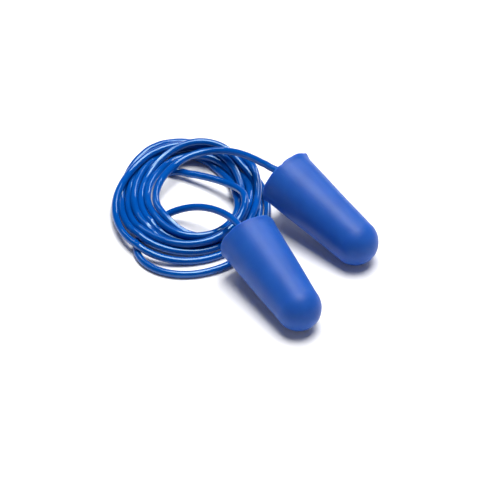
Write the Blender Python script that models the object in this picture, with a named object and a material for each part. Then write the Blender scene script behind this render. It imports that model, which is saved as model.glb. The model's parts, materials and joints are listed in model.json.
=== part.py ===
"""Corded foam ear plugs at rest: two bullet-shaped plugs lying in front of the coil of their cord.

Metres, +Z up. The origin is on the floor under the middle of the two plugs, +X runs to the right, and
+Y runs from the plugs' tips towards the coil. Each plug hangs from an empty at its exit point, the
centre of its flat base, where the cord comes out and where the plug swings on it.
"""

import math

import bmesh
import bpy
from mathutils import Matrix, Vector

MM = 0.001

# Driving dimensions
PLUG_LENGTH = 25.5 * MM
BASE_DIAMETER = 12.0 * MM
TIP_DIAMETER = 9.4 * MM
CORD_DIAMETER = 1.5 * MM
COIL_WIDTH = 31.8 * MM
COIL_LENGTH = 41.4 * MM

# The plug's trimmed rim and the blind bore in its base
RIM_FLARE = 0.15 * MM
RIM_DEPTH = 0.9 * MM
BORE_DEPTH = 11.0 * MM
BOND_THICKNESS = 0.3 * MM
FIT_GAP = 0.05 * MM
FACE_GAP = 0.3 * MM
BALL_DIAMETER = 2.0 * MM
TURNED_STEPS = 48
DOME_STEPS = 9

# How the coil is piled: two layers, with a single strand running round the outside
COIL_LAYERS = 2
COIL_HEIGHT = COIL_LAYERS * CORD_DIAMETER
OPENING_WIDTH = 0.516 * COIL_WIDTH
OPENING_LENGTH = 0.546 * COIL_LENGTH
OPENING_SHIFT = Vector((0.016 * COIL_WIDTH, 0.085 * COIL_LENGTH, 0.0))
COIL_STEPS = 72

# Where things lie: the shares are of the coil's half width and half length, from its centre
FRONT_BASE = Vector((-10.4 * MM, 0.7 * MM, 0.0))
FRONT_BASE_SHARE = (0.693, -0.826)
REAR_BASE_SHARE = (1.169, -0.006)
FRONT_HEADING = math.radians(119)
REAR_HEADING = math.radians(133)
FRONT_LIFT = 1.07 * CORD_DIAMETER
REAR_LIFT = 2.05 * CORD_DIAMETER

CORD_STEP = 2.2 * CORD_DIAMETER
STRAIGHT_RUN = 2.4 * MM

FOAM_BLUE = (0.045, 0.105, 0.33, 1.0)
CORD_BLUE = (0.004, 0.065, 0.34, 1.0)
BOND_GREY = (0.62, 0.64, 0.62, 1.0)
STEEL = (0.60, 0.60, 0.62, 1.0)


def clear_scene():
    for old in list(bpy.data.objects):
        bpy.data.objects.remove(old, do_unlink=True)


def material(name, colour, roughness, metallic=0.0):
    made = bpy.data.materials.new(name)
    made.use_nodes = True
    shader = made.node_tree.nodes["Principled BSDF"]
    shader.inputs["Base Color"].default_value = colour
    shader.inputs["Roughness"].default_value = roughness
    shader.inputs["Metallic"].default_value = metallic
    return made


def piece(name, bm, look, parent=None):
    """One sub-part from a bmesh, smooth-shaded except at its real edges."""
    bmesh.ops.recalc_face_normals(bm, faces=bm.faces)
    mesh = bpy.data.meshes.new(name)
    bm.to_mesh(mesh)
    bm.free()
    mesh.materials.append(look)
    mesh.shade_smooth()
    mesh.set_sharp_from_angle(angle=math.radians(40))
    made = bpy.data.objects.new(name, mesh)
    made.parent = parent
    bpy.context.scene.collection.objects.link(made)
    return made


def arc(radius, centre_z, start, end, steps):
    """(radius, height) points round a quarter or half circle whose centre is on the turning axis."""
    angles = (start + (end - start) * i / steps for i in range(steps + 1))
    return [(radius * math.cos(a), centre_z + radius * math.sin(a)) for a in angles]


def turned(outline):
    """Turn (radius, height) points about Z. The outline starts and ends on the axis or closes on itself."""
    bm = bmesh.new()
    rings = []
    for radius, height in outline:
        if radius < 1e-9:
            rings.append([bm.verts.new((0.0, 0.0, height))])
            continue
        angles = (2 * math.pi * i / TURNED_STEPS for i in range(TURNED_STEPS))
        rings.append([bm.verts.new((radius * math.cos(a), radius * math.sin(a), height)) for a in angles])
    if len(rings[0]) > 1:
        rings.append(rings[0])
    for low, high in zip(rings, rings[1:]):
        skin_between(bm, low, high)
    return bm


def skin_between(bm, low, high):
    count = max(len(low), len(high))
    for i in range(count):
        j = (i + 1) % count
        corners = [low[i % len(low)], low[j % len(low)], high[j % len(high)], high[i % len(high)]]
        bm.faces.new(list(dict.fromkeys(corners)))


# The plugs: local +Z points out of the base along the cord, and z = 0 is the base face.

CORD_RADIUS = CORD_DIAMETER / 2
BOND_INNER = CORD_RADIUS + FIT_GAP
BOND_OUTER = BOND_INNER + BOND_THICKNESS
BORE_RADIUS = max(BOND_OUTER, BALL_DIAMETER / 2) + FIT_GAP
BALL_Z = -BORE_DEPTH + BALL_DIAMETER / 2 + FIT_GAP
CORD_END_Z = BALL_Z + BALL_DIAMETER / 2 + FIT_GAP


def foam_outline():
    """Bore, base face, flared rim, straight taper and domed tip."""
    tip_radius = TIP_DIAMETER / 2
    base_radius = BASE_DIAMETER / 2
    dome_z = tip_radius - PLUG_LENGTH
    taper = math.asin((base_radius - tip_radius) / -dome_z)
    dome = arc(tip_radius, dome_z, taper, -math.pi / 2, DOME_STEPS)
    rim = [
        (base_radius + RIM_FLARE, 0.0),
        (base_radius + RIM_FLARE, -0.25 * RIM_DEPTH),
        (base_radius, -RIM_DEPTH),
    ]
    bore = [(0.0, -BORE_DEPTH), (BORE_RADIUS, -BORE_DEPTH), (BORE_RADIUS, 0.0)]
    return bore + rim + dome[:-1] + [(0.0, -PLUG_LENGTH)]


def bond_outline():
    low = CORD_END_Z
    return [(BOND_INNER, -FIT_GAP), (BOND_INNER, low), (BOND_OUTER, low), (BOND_OUTER, -FIT_GAP)]


def cord_end_outline():
    return [(0.0, 0.0), (CORD_RADIUS, 0.0), (CORD_RADIUS, CORD_END_Z), (0.0, CORD_END_Z)]


def ball_outline():
    radius = BALL_DIAMETER / 2
    middle = arc(radius, BALL_Z, math.pi / 2, -math.pi / 2, 2 * DOME_STEPS)[1:-1]
    return [(0.0, BALL_Z + radius)] + middle + [(0.0, BALL_Z - radius)]


def lying_tilt(lift):
    """How far the plug's axis leans when its tip is on the floor and its rim is held up by lift."""
    tip_radius = TIP_DIAMETER / 2
    dome_to_base = PLUG_LENGTH - tip_radius
    rim_radius = BASE_DIAMETER / 2 + RIM_FLARE
    reach = math.hypot(dome_to_base, rim_radius)
    return math.atan2(rim_radius, dome_to_base) + math.asin((lift - tip_radius) / reach)


def outward(heading, tilt):
    flat = Vector((math.cos(heading), math.sin(heading), 0.0))
    return flat * math.cos(tilt) + Vector((0.0, 0.0, math.sin(tilt)))


def exit_point(name, base, heading, lift):
    """The empty at the centre of a plug's base face, with its Z along the cord as it comes out."""
    tilt = lying_tilt(lift)
    height = TIP_DIAMETER / 2 + (PLUG_LENGTH - TIP_DIAMETER / 2) * math.sin(tilt)
    made = bpy.data.objects.new(name, None)
    made.empty_display_size = BASE_DIAMETER
    turn = outward(heading, tilt).to_track_quat("Z", "Y").to_matrix().to_4x4()
    made.matrix_world = Matrix.Translation((base.x, base.y, height)) @ turn
    bpy.context.scene.collection.objects.link(made)
    return made


def plug(side, base, heading, lift):
    point = exit_point(side + "_exit", base, heading, lift)
    piece(side + "_foam_plug", turned(foam_outline()), LOOKS["foam"], point)
    piece(side + "_bond_sleeve", turned(bond_outline()), LOOKS["bond"], point)
    piece(side + "_cord_end", turned(cord_end_outline()), LOOKS["cord"], point)
    piece(side + "_detection_ball", turned(ball_outline()), LOOKS["steel"], point)
    return point.matrix_world


# The coil and the two free stretches of cord that lead from it to the plugs.


def coil_centre():
    offset = (FRONT_BASE_SHARE[0] * COIL_WIDTH / 2, FRONT_BASE_SHARE[1] * COIL_LENGTH / 2, 0.0)
    return FRONT_BASE - Vector(offset)


def by_coil(x_share, y_share, height):
    """A point placed by shares of the coil's half width and half length from its centre."""
    place = Vector((x_share * COIL_WIDTH / 2, y_share * COIL_LENGTH / 2, height))
    return coil_centre() + place


def coil_section():
    """Round the pile's section: which oval each point follows, how far inside it, and its height."""
    soft = 0.3 * CORD_DIAMETER
    step_in = 1.07 * CORD_DIAMETER
    top = COIL_HEIGHT
    return [
        ("inner", soft, 0.0),
        ("outer", soft, 0.0),
        ("outer", 0.0, soft),
        ("outer", 0.0, CORD_DIAMETER - soft),
        ("outer", soft, CORD_DIAMETER),
        ("outer", step_in, CORD_DIAMETER),
        ("outer", step_in + 0.3 * soft, top - soft),
        ("outer", step_in + soft, top),
        ("inner", soft, top),
        ("inner", 0.0, top - soft),
        ("inner", 0.0, soft),
    ]


def on_oval(which, inset, height, angle):
    if which == "outer":
        half_x, half_y, middle = COIL_WIDTH / 2 - inset, COIL_LENGTH / 2 - inset, coil_centre()
    else:
        half_x, half_y = OPENING_WIDTH / 2 + inset, OPENING_LENGTH / 2 + inset
        middle = coil_centre() + OPENING_SHIFT
    return middle + Vector((half_x * math.cos(angle), half_y * math.sin(angle), height))


def coil():
    bm = bmesh.new()
    rings = []
    for which, inset, height in coil_section():
        angles = (2 * math.pi * i / COIL_STEPS for i in range(COIL_STEPS))
        rings.append([bm.verts.new(on_oval(which, inset, height, a)) for a in angles])
    for low, high in zip(rings, rings[1:] + rings[:1]):
        skin_between(bm, low, high)
    return piece("cord_coil", bm, LOOKS["cord"])


def smooth_route(points, spacing):
    """Points a fixed spacing apart along a Catmull-Rom curve through the route's own points."""
    padded = [2 * points[0] - points[1]] + points + [2 * points[-1] - points[-2]]
    dense = [points[0]]
    for a, b, c, d in zip(padded, padded[1:], padded[2:], padded[3:]):
        for i in range(1, 25):
            t = i / 24
            bend = (2 * a - 5 * b + 4 * c - d) * t**2 + (3 * b - a - 3 * c + d) * t**3
            dense.append(0.5 * (2 * b + (c - a) * t + bend))
    length = sum((q - p).length for p, q in zip(dense, dense[1:]))
    step = length / max(2, round(length / spacing))
    kept = [dense[0]]
    run = 0.0
    for p, q in zip(dense, dense[1:]):
        run += (q - p).length
        if run >= step and len(kept) * step < length - step / 2:
            kept.append(q)
            run -= step
    return kept + [dense[-1]]


def tail(name, exit_matrix, route):
    """A free stretch of cord: straight out of the plug's base, then along its route to the coil."""
    out = (exit_matrix.to_3x3() @ Vector((0.0, 0.0, 1.0))).normalized()
    start = exit_matrix.translation
    leaving = [start + out * FACE_GAP, start + out * (FACE_GAP + STRAIGHT_RUN)]
    points = smooth_route(leaving + route, CORD_STEP)
    curve = bpy.data.curves.new(name, "CURVE")
    curve.dimensions = "3D"
    curve.bevel_depth = CORD_RADIUS
    curve.bevel_resolution = 2
    curve.use_fill_caps = True
    spline = curve.splines.new("POLY")
    spline.points.add(len(points) - 1)
    for slot, place in zip(spline.points, points):
        slot.co = (*place, 1.0)
    spline.use_smooth = True
    curve.materials.append(LOOKS["cord"])
    made = bpy.data.objects.new(name, curve)
    bpy.context.scene.collection.objects.link(made)
    return made


def front_route():
    """Arches over the near strands, drops into the coil's opening and meets the far side of it low down."""
    return [
        by_coil(0.498, -0.512, 4.93 * CORD_DIAMETER),
        by_coil(0.284, -0.329, 4.07 * CORD_DIAMETER),
        by_coil(0.033, -0.169, 2.93 * CORD_DIAMETER),
        by_coil(-0.195, -0.105, 1.8 * CORD_DIAMETER),
        by_coil(-0.330, -0.120, 1.2 * CORD_DIAMETER),
    ]


def rear_route():
    """Curves round behind the plugs and comes down on top of the coil's far end."""
    return [
        by_coil(0.976, 0.126, 6.2 * CORD_DIAMETER),
        by_coil(0.854, 0.261, 5.67 * CORD_DIAMETER),
        by_coil(0.731, 0.406, 4.93 * CORD_DIAMETER),
        by_coil(0.486, 0.609, 3.8 * CORD_DIAMETER),
        by_coil(0.270, 0.695, 2.95 * CORD_DIAMETER),
    ]


LOOKS = {}


def main():
    clear_scene()
    LOOKS["foam"] = material("foam", FOAM_BLUE, 0.75)
    LOOKS["cord"] = material("cord", CORD_BLUE, 0.2)
    LOOKS["bond"] = material("bond", BOND_GREY, 0.5)
    LOOKS["steel"] = material("steel", STEEL, 0.25, 1.0)
    front_exit = plug("front", FRONT_BASE, FRONT_HEADING, FRONT_LIFT)
    rear_exit = plug("rear", by_coil(*REAR_BASE_SHARE, 0.0), REAR_HEADING, REAR_LIFT)
    coil()
    tail("front_cord_tail", front_exit, front_route())
    tail("rear_cord_tail", rear_exit, rear_route())


main()
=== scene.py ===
"""Looks for the corded foam ear plugs: camera, studio light, the piled cord, the foam and the materials.

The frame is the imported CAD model: metres, +Z up, floor at 0. The cord's route is worked out in
millimetres and turned into metres when its mesh is made.
"""

import json
import math

import bmesh
import bpy
import numpy as np
from mathutils import Matrix, Vector


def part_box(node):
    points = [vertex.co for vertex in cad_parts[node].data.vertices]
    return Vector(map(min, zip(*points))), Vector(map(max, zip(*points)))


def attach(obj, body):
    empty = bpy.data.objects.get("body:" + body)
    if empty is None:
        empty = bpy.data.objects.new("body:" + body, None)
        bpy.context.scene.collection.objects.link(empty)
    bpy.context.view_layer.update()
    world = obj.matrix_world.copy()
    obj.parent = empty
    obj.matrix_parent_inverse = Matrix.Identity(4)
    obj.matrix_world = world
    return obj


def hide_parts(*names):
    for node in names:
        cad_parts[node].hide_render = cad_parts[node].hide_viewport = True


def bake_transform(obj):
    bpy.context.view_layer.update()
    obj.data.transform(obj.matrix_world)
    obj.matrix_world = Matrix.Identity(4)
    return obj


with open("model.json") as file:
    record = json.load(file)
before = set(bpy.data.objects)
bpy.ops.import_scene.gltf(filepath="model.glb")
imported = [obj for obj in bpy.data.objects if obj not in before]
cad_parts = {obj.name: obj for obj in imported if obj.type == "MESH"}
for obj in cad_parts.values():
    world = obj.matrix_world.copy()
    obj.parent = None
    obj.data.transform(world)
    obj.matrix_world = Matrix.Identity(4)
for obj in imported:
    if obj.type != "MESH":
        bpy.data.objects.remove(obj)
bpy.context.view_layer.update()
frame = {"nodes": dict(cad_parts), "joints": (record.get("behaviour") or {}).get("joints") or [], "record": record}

MM = 0.001

# Sizes the foam and the cord are built to, in millimetres
CORD_DIAMETER = 1.5
CORD_RADIUS = CORD_DIAMETER / 2
PLUG_LENGTH = 25.5
TIP_RADIUS = 4.7
BASE_RADIUS = 6.0
RIM_FLARE = 0.15
RIM_RADIUS = BASE_RADIUS + RIM_FLARE
BORE_RADIUS = 1.15
BORE_DEPTH = 11.0

# How finely the foam and the cord are meshed, and how much of each cord end stands straight out of its
# plug's base or bends with the plug, in millimetres
PLUG_SIDES = 120
SIDE_ROWS = 22
DOME_ROWS = 14
CORD_STEP = 0.7
CORD_SIDES = 16
STRAIGHT_LENGTH = 2.7
LEAD_LENGTH = 15.0

# The camera, in metres
CAMERA_ELEVATION = math.radians(40)
CAMERA_DISTANCE = 1.5
CAMERA_TARGET = (-11.4 * MM, 8.2 * MM, 0.0)
FIELD_WIDTH = 0.097
SENSOR_WIDTH_MM = 36.0


# ---------------------------------------------------------------- where things are, from the frame


def joint(name):
    return next(j for j in frame["joints"] if j["name"] == name)


def exit_of(side):
    """The cord's exit point in millimetres and the direction it leaves in, for one plug."""
    hinge = joint(side + "_plug_swing")
    mount = next(m for m in frame["record"]["mounts"] if m["name"] == side + "_press_face")
    return np.array(hinge["pos_m"]) / MM, np.array(mount["axis"])


FRONT_EXIT, FRONT_OUT = exit_of("front")
REAR_EXIT, REAR_OUT = exit_of("rear")
COIL_LOW, COIL_HIGH = (np.array(corner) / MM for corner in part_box("cord_coil"))
COIL_CENTRE = (COIL_LOW + COIL_HIGH) / 2
COIL_HALF = (COIL_HIGH - COIL_LOW) / 2


# ---------------------------------------------------------------- camera, floor and light


def aim(obj, target):
    direction = Vector(target) - obj.location
    obj.rotation_euler = direction.to_track_quat("-Z", "Y").to_euler()


def make_camera():
    """A long lens well above the floor, looking along +Y."""
    target = Vector(CAMERA_TARGET)
    back = Vector((0.0, -math.cos(CAMERA_ELEVATION), math.sin(CAMERA_ELEVATION)))
    data = bpy.data.cameras.new("camera")
    data.sensor_width = SENSOR_WIDTH_MM
    data.lens = SENSOR_WIDTH_MM * CAMERA_DISTANCE / FIELD_WIDTH
    data.clip_start = 0.1
    data.clip_end = 10.0
    data.dof.use_dof = False
    camera = bpy.data.objects.new("camera", data)
    camera.location = target + CAMERA_DISTANCE * back
    bpy.context.scene.collection.objects.link(camera)
    aim(camera, target)
    bpy.context.scene.camera = camera


def area_light(name, location, target, size, power, colour=(1.0, 1.0, 1.0)):
    data = bpy.data.lights.new(name, "AREA")
    data.shape = "RECTANGLE"
    data.size, data.size_y = size
    data.energy = power
    data.color = colour
    light = bpy.data.objects.new(name, data)
    light.location = location
    bpy.context.scene.collection.objects.link(light)
    aim(light, target)


def make_room():
    """Pale walls all round under a dim ceiling. Reflections show the lamps and the floor, not the walls."""
    world = bpy.data.worlds.new("room")
    bpy.context.scene.world = world
    world.use_nodes = True
    nodes, links = world.node_tree.nodes, world.node_tree.links
    place = nodes.new("ShaderNodeTexCoord")
    split = nodes.new("ShaderNodeSeparateXYZ")
    walls = nodes.new("ShaderNodeValToRGB")
    links.new(place.outputs["Generated"], split.inputs["Vector"])
    links.new(split.outputs["Z"], walls.inputs["Fac"])
    low, high = walls.color_ramp.elements
    low.position, low.color = 0.25, (0.92, 0.93, 1.0, 1.0)
    high.position, high.color = 0.60, (0.08, 0.08, 0.10, 1.0)
    links.new(walls.outputs["Color"], nodes["Background"].inputs["Color"])
    nodes["Background"].inputs["Strength"].default_value = 0.55
    world.cycles_visibility.glossy = False


def make_light():
    """A large soft box overhead, and two strips behind for the cord's fine highlights."""
    middle = (-0.010, 0.010, 0.0)
    area_light("key", (0.04, 0.075, 0.49), middle, (0.34, 0.32), 3.7, (1.0, 0.99, 0.97))
    area_light("strip_right", (0.16, 0.37, 0.32), middle, (0.03, 0.26), 0.5)
    area_light("strip_left", (-0.19, 0.26, 0.40), middle, (0.03, 0.26), 0.35)
    make_room()
    bpy.context.scene.view_settings.view_transform = "Standard"


# ---------------------------------------------------------------- material helpers


class Look:
    """A Principled material being built up from nodes."""

    def __init__(self, name, **values):
        self.material = bpy.data.materials.new(name)
        self.material.use_nodes = True
        self.nodes = self.material.node_tree.nodes
        self.links = self.material.node_tree.links
        self.shader = self.nodes["Principled BSDF"]
        self.set(self.shader, **values)

    def set(self, node, **values):
        for name, value in values.items():
            node.inputs[name.replace("_", " ")].default_value = value

    def add(self, kind):
        return self.nodes.new("ShaderNode" + kind)

    def link(self, source, output, target, name):
        self.links.new(source.outputs[output], target.inputs[name])

    def coordinates(self):
        return self.add("TexCoord")

    def noise(self, scale, detail=3.0, roughness=0.5):
        node = self.add("TexNoise")
        self.link(self.coordinates(), "Object", node, "Vector")
        self.set(node, Scale=scale, Detail=detail, Roughness=roughness)
        return node

    def pits(self, scale):
        """Round cells, their distance growing from each middle."""
        node = self.add("TexVoronoi")
        self.link(self.coordinates(), "Object", node, "Vector")
        self.set(node, Scale=scale)
        return node

    def ramp(self, source, output, stops):
        """A colour ramp from (place, colour) stops."""
        node = self.add("ValToRGB")
        band = node.color_ramp
        while len(band.elements) < len(stops):
            band.elements.new(0.5)
        for element, (place, colour) in zip(band.elements, stops):
            element.position = place
            element.color = (*colour, 1.0)
        self.link(source, output, node, "Fac")
        return node

    def spread(self, source, output, low, high):
        """A value that runs from low to high as the source runs from 0 to 1."""
        node = self.add("MapRange")
        self.set(node, To_Min=low, To_Max=high)
        self.link(source, output, node, "Value")
        return node

    def bump(self, source, output, distance, strength=1.0, under=None):
        node = self.add("Bump")
        self.set(node, Strength=strength, Distance=distance)
        self.link(source, output, node, "Height")
        if under:
            self.link(under, "Normal", node, "Normal")
        self.link(node, "Normal", self.shader, "Normal")
        return node


def foam_skin():
    """Slow-recovery foam with its smooth moulded skin: faint pores, a cloudy blue and a soft sheen."""
    look = Look("foam_skin", Specular_IOR_Level=0.22)
    look.set(look.shader, Sheen_Weight=0.04, Sheen_Roughness=0.4, Sheen_Tint=(0.6, 0.7, 1.0, 1.0))
    look.set(look.shader, Subsurface_Weight=0.6, Subsurface_Scale=0.0015)
    look.set(look.shader, Subsurface_Radius=(0.25, 0.5, 1.0))
    cloud = look.noise(220.0, 4.0)
    colour = look.ramp(cloud, "Fac", [(0.3, (0.010, 0.078, 0.365)), (0.7, (0.014, 0.092, 0.41))])
    look.link(colour, "Color", look.shader, "Base Color")
    rough = look.spread(look.noise(900.0), "Fac", 0.38, 0.48)
    look.link(rough, "Result", look.shader, "Roughness")
    soft = look.bump(look.noise(350.0, 2.0), "Fac", 0.00010, 0.35)
    look.bump(look.noise(2600.0, 3.0, 0.6), "Fac", 0.00003, 0.6, soft)
    return look.material


def foam_cut():
    """The open cells of the trimmed base face: real bumped pits, with painted shade darkening the middle of each.
    """
    look = Look("foam_cut", Roughness=0.85, Specular_IOR_Level=0.2)
    pits_with_painted_shade = look.pits(2300.0)
    # Painted shade: the colour is darkest at each cell's middle, where the pit is deepest, and lighter towards its
    # walls.
    colour = look.ramp(pits_with_painted_shade, "Distance", [(0.05, (0.012, 0.035, 0.17)), (0.45, (0.06, 0.15, 0.50))])
    look.link(colour, "Color", look.shader, "Base Color")
    look.bump(pits_with_painted_shade, "Distance", 0.00018, 0.9)
    return look.material


def cord_vinyl():
    """Glossy soft vinyl, saturated deep blue, with a faint waviness left by the extruder."""
    look = Look("cord_vinyl", Specular_IOR_Level=0.7, Specular_Tint=(0.62, 0.92, 1.0, 1.0))
    cloud = look.noise(140.0, 2.0)
    colour = look.ramp(cloud, "Fac", [(0.35, (0.0006, 0.060, 0.31)), (0.65, (0.0010, 0.072, 0.36))])
    look.link(colour, "Color", look.shader, "Base Color")
    rough = look.spread(look.noise(600.0), "Fac", 0.04, 0.08)
    look.link(rough, "Result", look.shader, "Roughness")
    look.bump(look.noise(200.0, 1.0), "Fac", 0.00001, 0.1)
    return look.material


def adhesive():
    """Set clear glue, slightly milky."""
    look = Look("adhesive", Roughness=0.3, Specular_IOR_Level=0.5)
    colour = look.ramp(look.noise(900.0), "Fac", [(0.3, (0.34, 0.42, 0.55)), (0.7, (0.46, 0.54, 0.66))])
    look.link(colour, "Color", look.shader, "Base Color")
    look.bump(look.noise(1500.0), "Fac", 0.00005, 0.6)
    return look.material


def ball_steel():
    """Dull bare steel."""
    look = Look("ball_steel", Metallic=1.0)
    colour = look.ramp(look.noise(1200.0), "Fac", [(0.3, (0.50, 0.50, 0.52)), (0.7, (0.64, 0.64, 0.66))])
    look.link(colour, "Color", look.shader, "Base Color")
    rough = look.spread(look.noise(3000.0), "Fac", 0.2, 0.4)
    look.link(rough, "Result", look.shader, "Roughness")
    return look.material


def floor_paper():
    """Seamless white paper, very slightly mottled."""
    look = Look("floor_paper", Roughness=0.55, Specular_IOR_Level=0.25)
    colour = look.ramp(look.noise(30.0), "Fac", [(0.3, (0.90, 0.90, 0.915)), (0.7, (0.93, 0.93, 0.94))])
    look.link(colour, "Color", look.shader, "Base Color")
    look.bump(look.noise(1800.0), "Fac", 0.00002, 0.3)
    return look.material


def make_floor():
    mesh = bpy.data.meshes.new("floor")
    bm = bmesh.new()
    bmesh.ops.create_grid(bm, x_segments=4, y_segments=4, size=1.5)
    bm.to_mesh(mesh)
    bm.free()
    mesh.materials.append(floor_paper())
    floor = bpy.data.objects.new("floor", mesh)
    bpy.context.scene.collection.objects.link(floor)


# ---------------------------------------------------------------- the cord's route, in millimetres


def by_coil(x_share, y_share, height):
    """A point placed by shares of the coil's half width and half length from its centre."""
    return np.array([*(COIL_CENTRE + COIL_HALF * (x_share, y_share, 0.0))[:2], height])


# The free stretches are lists of by_coil's arguments, with heights in millimetres.
# From the front plug: over the opening in an arch, down under the pile's left side, and out on the floor
# round its near end.
FRONT_STRETCH = [
    (0.498, -0.512, 7.4), (0.284, -0.329, 6.1), (0.033, -0.169, 4.4), (-0.195, -0.105, 2.7),
    (-0.420, -0.135, 1.3), (-0.603, -0.251, 0.75), (-0.703, -0.415, 0.75), (-0.741, -0.589, 0.75),
    (-0.691, -0.763, 0.75), (-0.458, -0.937, 0.75), (-0.112, -1.005, 0.75), (0.165, -0.966, 0.75),
    (0.460, -0.821, 0.75),
]

# From the rear plug: back over the pile's far end and down inside its left side.
REAR_STRETCH = [
    (0.976, 0.126, 9.3), (0.854, 0.261, 8.5), (0.731, 0.406, 7.4), (0.486, 0.609, 5.7),
    (0.270, 0.695, 4.6), (0.070, 0.675, 4.5), (-0.125, 0.570, 4.4), (-0.290, 0.420, 4.0),
    (-0.425, 0.217, 3.6), (-0.505, 0.029, 3.2), (-0.530, -0.155, 2.8),
]

# The turns: at each eighth of a turn, how far out the strand lies, from 0 along the opening's edge to
# 1 along the outside, and how high in the pile it starts, in layers.
FRONT_TURNS_START = 315
FRONT_TURNS = [
    (1.06, 0), (0.98, 0), (0.80, 0), (1.02, 0), (0.98, 0), (0.80, 0), (0.62, 0), (0.42, 0),
    (0.46, 0), (0.66, 1), (0.55, 1), (0.50, 1.5), (0.60, 1.5), (0.48, 1), (0.46, 2), (0.30, 1),
    (0.30, 1), (0.42, 1), (0.38, 1), (0.66, 1), (0.84, 1), (0.68, 0), (0.54, 1.5), (0.40, 1.5),
    (0.42, 2.5), (0.32, 3),
]
REAR_TURNS_START = 225
REAR_TURNS = [
    (0.04, 1), (0.14, 0), (0.12, 0), (0.12, 0), (0.15, 1), (0.35, 2), (0.66, 3), (1.05, 1),
    (0.99, 1.5), (0.66, 0), (0.70, 0), (0.58, 0), (0.62, 2), (0.30, 2.5), (0.30, 2), (0.28, 0.5),
    (0.24, 1.5), (0.22, 0), (0.35, 0), (0.30, 0), (0.10, 1), (0.05, 1), (0.06, 2), (0.16, 2),
    (0.22, 3), (0.20, 2), (0.28, 2), (0.12, 2),
]

# The middle of the cord: the strand that crosses the opening, folds back under the pile at the far
# left, and runs back along the opening's far side.
MIDDLE_STRETCH = [
    (0.624, 0.039, 4.4), (0.473, 0.179, 3.6), (0.347, 0.290, 3), (0.096, 0.420, 2.3),
    (-0.030, 0.478, 1.9), (-0.181, 0.536, 1.4), (-0.326, 0.565, 0.9), (-0.470, 0.585, 0.75),
    (-0.590, 0.638, 0.75), (-0.640, 0.739, 0.75), (-0.596, 0.845, 0.75), (-0.458, 0.903, 0.75),
    (-0.213, 0.889, 0.75), (0.026, 0.802, 1.4), (0.196, 0.715, 2.4), (0.347, 0.618, 3),
    (0.473, 0.483, 3.2), (0.574, 0.329, 3.2),
]

STATIONS_PER_TURN = 8
POINTS_PER_STATION = 3
LAYER = 1.6  # the height of one layer of the pile, in millimetres

# The ovals that shares 0 and 1 lie on: the middle of each from the coil's, and its half width and length
INNER_SHIFT = np.array([0.5, 3.5])
INNER_HALF = np.array([8.95, 12.05])
OUTER_SHIFT = np.array([-0.1, 0.2])
OUTER_HALF = COIL_HALF[:2] - CORD_RADIUS + (0.1, 0.2)

# Where strands pass beneath the turns: the angle, its spread in degrees, and how many layers they lift
PASSED_OVER = [(208, 32, 1.05), (127, 30, 1.15)]
CURVE_PARTS = 16  # the steps on the smooth curve from each point of the route to the next


def turned_from(angle, degrees):
    """The signed angle in degrees from a direction in degrees to an angle in radians."""
    return (math.degrees(angle) - degrees + 180) % 360 - 180


def raised(angle):
    """How far the turns ride up over the strands that pass beneath them, in layers."""
    total = 0.0
    for place, spread, layers in PASSED_OVER:
        total += layers * math.exp(-((turned_from(angle, place) / spread) ** 2))
    return total


def on_turn(share, layers, angle):
    """The point of a turn at this angle, this share of the way out, on this layer."""
    middle = COIL_CENTRE[:2] + INNER_SHIFT * (1 - share) + OUTER_SHIFT * share
    half = INNER_HALF + (OUTER_HALF - INNER_HALF) * share
    flat = middle + half * (math.cos(angle), math.sin(angle))
    return np.array([*flat, CORD_RADIUS + LAYER * (layers + raised(angle))])


def turns(stations, start_degrees):
    """Points on the coil's turns, worked out between the stations."""
    shares, layers = np.array(stations, float).T
    places = np.arange((len(stations) - 1) * POINTS_PER_STATION + 1) / POINTS_PER_STATION
    known = np.arange(len(stations))
    points = []
    for place in places:
        angle = math.radians(start_degrees) + 2 * math.pi * place / STATIONS_PER_TURN
        share = np.interp(place, known, shares)
        points.append(on_turn(share, np.interp(place, known, layers), angle))
    return points


def rough_route():
    """The whole cord before it settles, from the front plug to the rear one."""
    front = [FRONT_EXIT, FRONT_EXIT + FRONT_OUT * STRAIGHT_LENGTH]
    front += [by_coil(*p) for p in FRONT_STRETCH] + turns(FRONT_TURNS, FRONT_TURNS_START)
    rear = [REAR_EXIT, REAR_EXIT + REAR_OUT * STRAIGHT_LENGTH]
    rear += [by_coil(*p) for p in REAR_STRETCH] + turns(REAR_TURNS, REAR_TURNS_START)
    return np.array(front + [by_coil(*p) for p in MIDDLE_STRETCH] + rear[::-1])


def run_lengths(points):
    steps = np.linalg.norm(np.diff(points, axis=0), axis=1)
    return np.concatenate([[0.0], np.cumsum(steps)])


def even_points(points, step):
    run = run_lengths(points)
    wanted = np.linspace(0, run[-1], round(run[-1] / step) + 1)
    return np.stack([np.interp(wanted, run, points[:, axis]) for axis in range(3)], axis=1)


def smooth_curve(points, step):
    """Evenly spaced points on a Catmull-Rom curve through the given ones."""
    padded = np.vstack([2 * points[0] - points[1], points, 2 * points[-1] - points[-2]])
    dense = [points[0]]
    for a, b, c, d in zip(padded, padded[1:], padded[2:], padded[3:]):
        for t in np.linspace(0, 1, CURVE_PARTS + 1)[1:]:
            bend = (2 * a - 5 * b + 4 * c - d) * t**2 + (3 * b - a - 3 * c + d) * t**3
            dense.append(0.5 * (2 * b + (c - a) * t + bend))
    return even_points(np.array(dense), step)


# ---------------------------------------------------------------- how the cord settles

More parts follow.
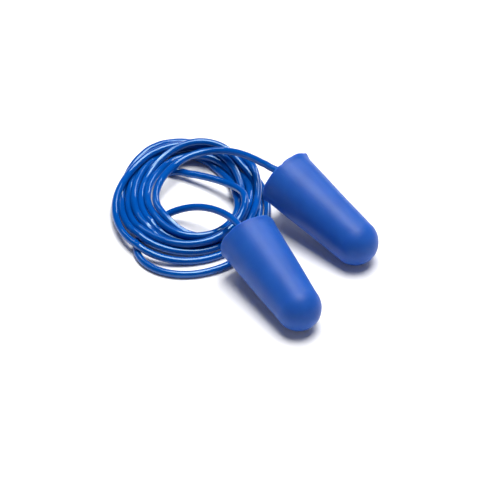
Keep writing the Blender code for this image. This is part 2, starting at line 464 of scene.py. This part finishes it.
SETTLE_ROUNDS = 500
CORNER_ROUNDS = 12
PUSH_ROUNDS = 6
PUSH_SHARE = 1.4  # over 1, to make up for what is lost when a push is spread along the cord
GAP = CORD_DIAMETER + 0.03  # between strand middles
NEAR = GAP + 1.2  # strands this close are watched
WATCH_EVERY = 8
LATE = 0.8  # the share of the rounds after which the fall slows
FALL, LATE_FALL = 0.03, 0.01  # in a round
NARROW = 0.9  # the share of the rounds after which a push spreads less far
WIDE_PUSH, NARROW_PUSH = 4, 2  # in points
BENDS = ((1, 0.3), (4, 0.3), (8, 0.08))  # the spacings over which the bend is evened, and by how much
LEAST_BEND = 3.3  # the radius below which a bend is eased
BEND_REACH = 4  # a bend is measured over this many points each way
BEND_SPREAD = 3
PLUG_GAP = 0.1
OWN_CORD = 1.2  # points this near a plug's axis are its own cord and stay

# Stretches that hang between two holds, from and to these distances along the cord: from the front plug
# to the floor, across the opening, and from the pile to the rear plug. Each hold comes in over HELD_EASE,
# and the outer two run past the cord's ends, so that the ends are held in full.
HELD_UP = [(-10.0, 31.0), (349.0, 381.0), (669.0, 770.0)]
HELD_EASE = 8.0
HOLD = 0.15
FOLD = (372.0, 400.0)  # the tight turn back, hidden under the pile
KEEP_PLACE, KEEP_FOLD = 0.04, 0.2  # how strongly the route keeps its plan, and how much more the fold does


def relax_corners(points, rounds):
    for _ in range(rounds):
        points[1:-1] = 0.25 * points[:-2] + 0.5 * points[1:-1] + 0.25 * points[2:]


def even_bend(points, reach, share):
    """Move each point towards the curve whose bend is the same as its neighbours', as a stiff cord lies."""
    ends = -points[: -4 * reach] - points[4 * reach :]
    middle = 4 * points[reach : -3 * reach] + 4 * points[3 * reach : -reach]
    inner = slice(2 * reach, -2 * reach)
    points[inner] += share[inner, None] * ((ends + middle) / 6 - points[inner])


def ease_tight(points):
    """Draw the cord in wherever it bends tighter than the least radius."""
    reach = BEND_REACH
    middle = (points[: -2 * reach] + points[2 * reach :]) / 2 - points[reach:-reach]
    span = np.linalg.norm(points[2 * reach :] - points[: -2 * reach], axis=1)
    depth = np.linalg.norm(middle, axis=1) + 1e-9
    excess = np.clip(1 - span**2 / (8 * LEAST_BEND * depth), 0, 1)
    shifts = np.zeros_like(points)
    shifts[reach:-reach] = middle * excess[:, None]
    points += spread_along(shifts, BEND_SPREAD)


def spread_along(moves, reach):
    """Share each point's move with its neighbours, so that the cord gives way in a long low hump."""
    weights = np.concatenate([np.arange(1, reach + 2), np.arange(reach, 0, -1)])
    weights = weights / weights.sum()
    return np.stack([np.convolve(moves[:, axis], weights, "same") for axis in range(3)], axis=1)


def push_apart(points, first, second, reach):
    """Part each pair of strand points that lie closer than the cord is thick."""
    gap = points[second] - points[first]
    distance = np.linalg.norm(gap, axis=1) + 1e-9
    close = distance < GAP
    first, second = first[close], second[close]
    shift = (0.5 * (GAP - distance[close]) / distance[close])[:, None] * gap[close]
    total = np.zeros_like(points)
    count = np.zeros(len(points))
    np.add.at(total, first, -shift)
    np.add.at(total, second, shift)
    np.add.at(count, first, 1)
    np.add.at(count, second, 1)
    points += PUSH_SHARE * spread_along(total / np.maximum(count, 1)[:, None], reach)


def keep_off_plug(points, exit_point, out):
    """Move points that have strayed into a plug out through its side or its base."""
    clear = CORD_RADIUS + PLUG_GAP
    depth = -(points - exit_point) @ out
    radial = points - exit_point + np.outer(depth, out)
    radius = np.linalg.norm(radial, axis=1) + 1e-9
    taper = PLUG_LENGTH - TIP_RADIUS
    cone = RIM_RADIUS - (RIM_RADIUS - TIP_RADIUS) * np.clip(depth / taper, 0, 1)
    beside = (depth > -clear) & (depth < PLUG_LENGTH)
    inside = beside & (radius < cone + clear) & (radius > OWN_CORD)
    out_back = inside & (depth < cone - radius)
    out_side = inside & ~out_back
    side_need = (cone + clear - radius)[out_side, None]
    points[out_side] += radial[out_side] / radius[out_side, None] * side_need
    points[out_back] += out * (depth + clear)[out_back, None]


def hold_of(run):
    """How firmly each point is held at its height, from 0 to 1."""
    return sum(np.clip(np.minimum(run - start, end - run) / HELD_EASE, 0, 1) for start, end in HELD_UP)


def near_pairs(points, apart):
    squared = ((points[:, None, :] - points[None, :, :]) ** 2).sum(axis=2)
    return np.where(apart & (squared < NEAR**2))


def settle(points):
    """Let the cord drop into a pile: it falls, keeps its bend even, and its strands rest on each other."""
    relax_corners(points, CORNER_ROUNDS)
    points = even_points(points, CORD_STEP)
    wanted = points.copy()
    fixed = int(STRAIGHT_LENGTH / CORD_STEP) + 1
    straight = np.arange(fixed)[:, None] * CORD_STEP
    run = run_lengths(points)
    held_up = hold_of(run)
    folded = ((run >= FOLD[0]) & (run <= FOLD[1])).astype(float)
    order = np.arange(len(points))
    apart = order[None, :] - order[:, None] > int(3 * CORD_DIAMETER / CORD_STEP)
    for step in range(SETTLE_ROUNDS):
        if step % WATCH_EVERY == 0:
            first, second = near_pairs(points, apart)
        done = step / SETTLE_ROUNDS
        fall = FALL if done < LATE else LATE_FALL
        points[:, 2] += HOLD * held_up * (wanted[:, 2] - points[:, 2]) - fall * (1 - held_up)
        points[:, :2] += (KEEP_PLACE + KEEP_FOLD * folded)[:, None] * (wanted[:, :2] - points[:, :2])
        for reach, share in BENDS:
            even_bend(points, reach, share * (1 - folded * (reach > 1)))
        ease_tight(points)
        for _ in range(PUSH_ROUNDS):
            push_apart(points, first, second, WIDE_PUSH if done < NARROW else NARROW_PUSH)
            points[:, 2] = np.maximum(points[:, 2], CORD_RADIUS)
        keep_off_plug(points, FRONT_EXIT, FRONT_OUT)
        keep_off_plug(points, REAR_EXIT, REAR_OUT)
        points[:fixed] = FRONT_EXIT + straight * FRONT_OUT
        points[-fixed:] = (REAR_EXIT + straight * REAR_OUT)[::-1]
    return points


# ---------------------------------------------------------------- the cord's mesh


TUBE_SHARP = 50


def rings_along(points, radius, sides):
    """A ring of points round each point of the route, turned as little as possible from one to the next."""
    tangents = np.gradient(points, axis=0)
    tangents /= np.linalg.norm(tangents, axis=1)[:, None]
    normal = np.cross(tangents[0], (0.0, 0.0, 1.0))
    angles = 2 * math.pi * np.arange(sides) / sides
    rings = []
    for point, tangent in zip(points, tangents):
        normal = normal - tangent * (normal @ tangent)
        normal /= np.linalg.norm(normal)
        across = np.cross(tangent, normal)
        round_point = np.outer(np.cos(angles), normal) + np.outer(np.sin(angles), across)
        rings.append(point + radius * round_point)
    return rings


def mesh_piece(name, bm, sharp_degrees, *looks):
    """A smooth-shaded object from a bmesh, with its edges sharp over this angle."""
    mesh = bpy.data.meshes.new(name)
    bmesh.ops.recalc_face_normals(bm, faces=bm.faces)
    bm.to_mesh(mesh)
    bm.free()
    for look in looks:
        mesh.materials.append(look)
    mesh.shade_smooth()
    mesh.set_sharp_from_angle(angle=math.radians(sharp_degrees))
    made = bpy.data.objects.new(name, mesh)
    bpy.context.scene.collection.objects.link(made)
    return made


def tube_piece(name, rings, look):
    """A closed tube through the rings."""
    bm = bmesh.new()
    rows = [[bm.verts.new(place * MM) for place in ring] for ring in rings]
    for low, high in zip(rows, rows[1:]):
        for i in range(len(low)):
            j = (i + 1) % len(low)
            bm.faces.new((low[i], low[j], high[j], high[i]))
    for end in (rows[0], rows[-1]):
        bm.faces.new(end)
    return mesh_piece(name, bm, TUBE_SHARP, look)


def make_cord():
    look = cord_vinyl()
    points = settle(smooth_curve(rough_route(), CORD_STEP))
    rings = rings_along(points, CORD_RADIUS, CORD_SIDES)
    lead = int(LEAD_LENGTH / CORD_STEP)
    cord = tube_piece("cord", rings[lead:-lead], look)
    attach(cord, "cord")
    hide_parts("cord_coil")
    for side, part, bend_start, exit_point in (
        ("front", rings[: lead + 1], points[lead], FRONT_EXIT),
        ("rear", rings[-lead - 1 :], points[-lead - 1], REAR_EXIT),
    ):
        piece = tube_piece(side + "_cord_lead", part, look)
        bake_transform(piece)
        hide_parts(side + "_cord_tail")
    for side in ("front", "rear"):
        frame["nodes"][side + "_cord_end"].data.materials[0] = look


# ---------------------------------------------------------------- the foam plugs


def plug_outline():
    """(radius, height) rows from the rim to the tip: flared rim, straight taper, domed tip."""
    dome_z = TIP_RADIUS - PLUG_LENGTH
    taper = math.asin((BASE_RADIUS - TIP_RADIUS) / -dome_z)
    rim = [(BASE_RADIUS + 0.10, 0.0), (RIM_RADIUS, -0.12), (BASE_RADIUS + 0.11, -0.4)]
    rim += [(BASE_RADIUS + 0.04, -0.8), (BASE_RADIUS - 0.04, -1.3)]
    side_end = (TIP_RADIUS * math.cos(taper), dome_z + TIP_RADIUS * math.sin(taper))
    side_start = (BASE_RADIUS - 0.07, -2.2)
    along = np.array(side_end) - side_start
    side = [tuple(np.array(side_start) + along * i / SIDE_ROWS) for i in range(SIDE_ROWS)]
    angles = [taper + (-math.pi / 2 - taper) * i / DOME_ROWS for i in range(DOME_ROWS)]
    dome = [(TIP_RADIUS * math.cos(a), dome_z + TIP_RADIUS * math.sin(a)) for a in angles]
    return rim + side + dome


def plug_place(exit_point, out):
    """The matrix that puts a plug modelled along -Z from its base on its place, in metres."""
    turn = Vector(out).to_track_quat("Z", "Y").to_matrix().to_4x4()
    return Matrix.Translation(Vector(exit_point) * MM) @ turn @ Matrix.Scale(MM, 4)


def wobble(angle, height, seed):
    """The unevenness of a soft moulding, in millimetres: broad low waves that differ on each plug."""
    broad = math.sin(2 * angle + 1.7 * seed + 0.11 * height) * 0.035
    fine = math.sin(5 * angle - 0.23 * height + 2.3 * seed) * 0.012
    return broad + fine + 0.02 * math.sin(0.45 * height + seed)


# Where each base was trimmed unevenly: at this angle round the rim and over this many degrees, how far
# the rim stands up and how far it stands out, in millimetres.
TRIMS = {
    "front": [(90, 50, -0.55, 0.0), (42, 9, -0.14, -0.06), (128, 12, 0.08, 0.08), (-20, 14, 0.05, 0.06)],
    "rear": [(142, 9, 0.14, 0.30), (68, 4, -0.16, -0.05), (110, 10, 0.05, 0.05), (10, 12, 0.04, 0.05)],
}


def trim(side, angle):
    """How far the rim stands up and out at this angle."""
    up = 0.02 * math.sin(9 * angle + 1.3)
    out = 0.03 * math.sin(7 * angle) + 0.02 * math.sin(17 * angle + 2.0)
    for place, spread, rise, flare in TRIMS[side]:
        share = math.exp(-((turned_from(angle, place) / spread) ** 2))
        up += rise * share
        out += flare * share
    return up, out


BORE = [(BORE_RADIUS, -BORE_DEPTH), (BORE_RADIUS, -4.0), (BORE_RADIUS, -0.25), (BORE_RADIUS + 0.12, 0.0)]
FACE = [(2.2, 0.02), (3.4, 0.0), (4.6, 0.0), (5.5, 0.0)]
RIM_DEPTH = 1.4  # the trimming fades out over this depth
SOFT_FROM_RADIUS, SOFT_FROM_DEPTH = 3.0, 0.6  # the wobble is on the moulded skin alone
FLARE_WIDTH = 0.3
FOAM_SHARP = 60


def foam_row(bm, side, radius, height, seed):
    """One ring of the plug's points, with its trimming and its wobble."""
    near_rim = max(0.0, 1.0 - abs(height) / RIM_DEPTH)
    skin = radius > SOFT_FROM_RADIUS and height < -SOFT_FROM_DEPTH
    flared = radius > BASE_RADIUS - FLARE_WIDTH
    row = []
    for i in range(PLUG_SIDES):
        angle = 2 * math.pi * i / PLUG_SIDES
        up, out_by = trim(side, angle)
        soft = wobble(angle, height, seed) if skin else 0.0
        reach = radius + soft + (out_by * near_rim if flared else 0.0)
        lift = up * near_rim * min(1.0, (radius / BASE_RADIUS) ** 2)
        row.append(bm.verts.new((reach * math.cos(angle), reach * math.sin(angle), height + lift)))
    return row


def foam_mesh(side, seed):
    """The plug as one closed skin, from the bottom of its bore to its tip. Material 1 is the cut foam."""
    bm = bmesh.new()
    rows = [foam_row(bm, side, *place, seed) for place in BORE + FACE + plug_outline()]
    cut_rows = len(BORE) + len(FACE)
    for index, (low, high) in enumerate(zip(rows, rows[1:])):
        for i in range(PLUG_SIDES):
            j = (i + 1) % PLUG_SIDES
            made = bm.faces.new((low[i], low[j], high[j], high[i]))
            made.material_index = 1 if index < cut_rows else 0
    tip = bm.verts.new((0.0, 0.0, -PLUG_LENGTH))
    floor_of_bore = bm.verts.new((0.0, 0.0, -BORE_DEPTH))
    for i in range(PLUG_SIDES):
        j = (i + 1) % PLUG_SIDES
        bm.faces.new((rows[-1][i], rows[-1][j], tip))
        bm.faces.new((rows[0][j], rows[0][i], floor_of_bore)).material_index = 1
    return bm


def make_plug(side, exit_point, out, seed, looks):
    bm = foam_mesh(side, seed)
    bmesh.ops.transform(bm, matrix=plug_place(exit_point, out), verts=bm.verts)
    foam = mesh_piece(side + "_plug_foam", bm, FOAM_SHARP, looks["skin"], looks["cut"])
    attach(foam, side + "_plug")
    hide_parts(side + "_foam_plug")
    for node, look in (("_bond_sleeve", "adhesive"), ("_detection_ball", "steel")):
        frame["nodes"][side + node].data.materials[0] = looks[look]


# ---------------------------------------------------------------- the scene

make_camera()
make_cord()
make_floor()
make_light()
plug_looks = {"skin": foam_skin(), "cut": foam_cut(), "adhesive": adhesive(), "steel": ball_steel()}
make_plug("front", FRONT_EXIT, FRONT_OUT, 1.0, plug_looks)
make_plug("rear", REAR_EXIT, REAR_OUT, 4.0, plug_looks)
